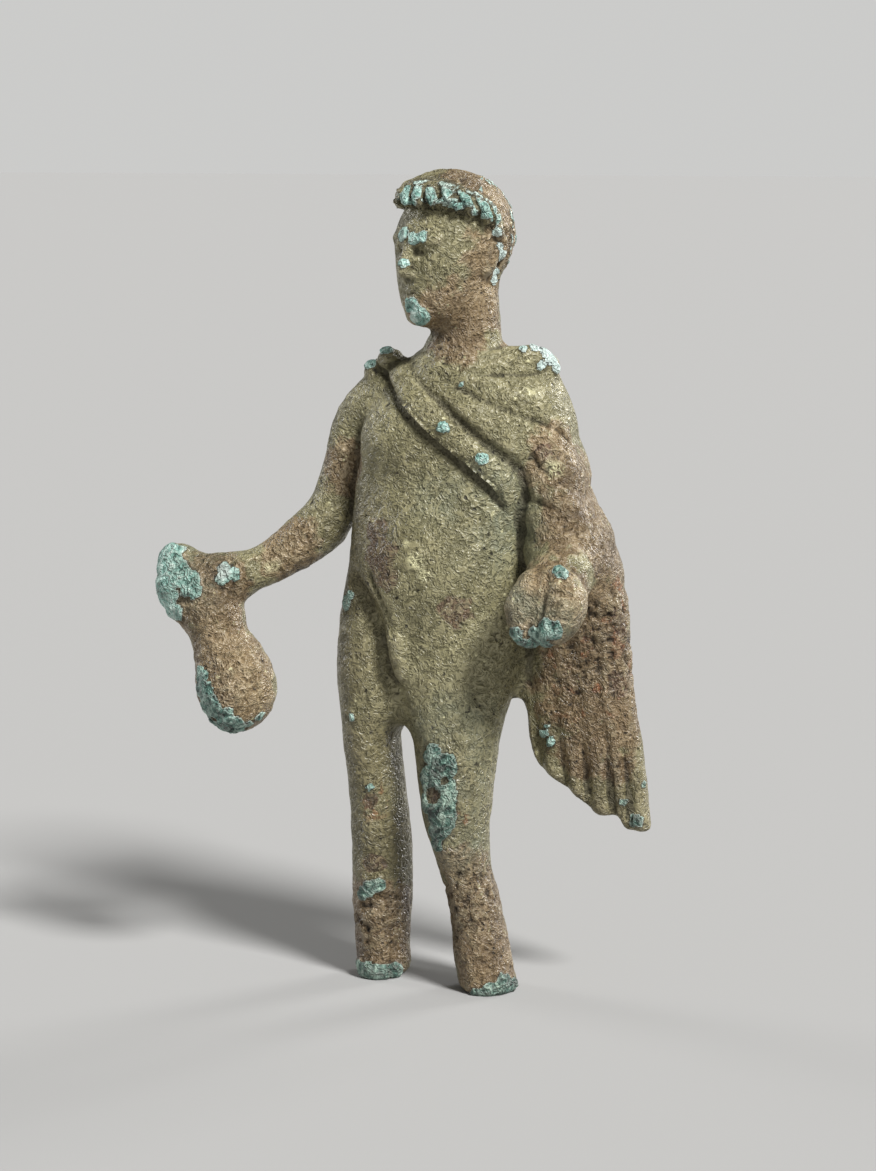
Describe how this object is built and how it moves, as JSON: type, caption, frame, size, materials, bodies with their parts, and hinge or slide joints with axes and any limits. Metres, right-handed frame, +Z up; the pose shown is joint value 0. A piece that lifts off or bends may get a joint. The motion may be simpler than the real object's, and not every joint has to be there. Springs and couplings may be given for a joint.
{
  "type": "bronze figurine",
  "caption": "Small solid-cast bronze figurine of a standing youth with a cloak over the left shoulder and a purse in the right hand, worn and patinated, feet lost.",
  "frame": {"origin": "middle of the bounding box, at the height of the leg ends that the figurine stands on", "axes": "+Z up; the chest faces -Y; the figure's left arm is on the +X side"},
  "size_m": [0.0546, 0.0192, 0.09],
  "materials": {
    "patinated_bronze": "old cast bronze with an olive-brown patina, fine pitting and raised blue-green corrosion crusts"
  },
  "bodies": {
    "root": {"figurine": "patinated_bronze"}
  },
  "joints": []
}
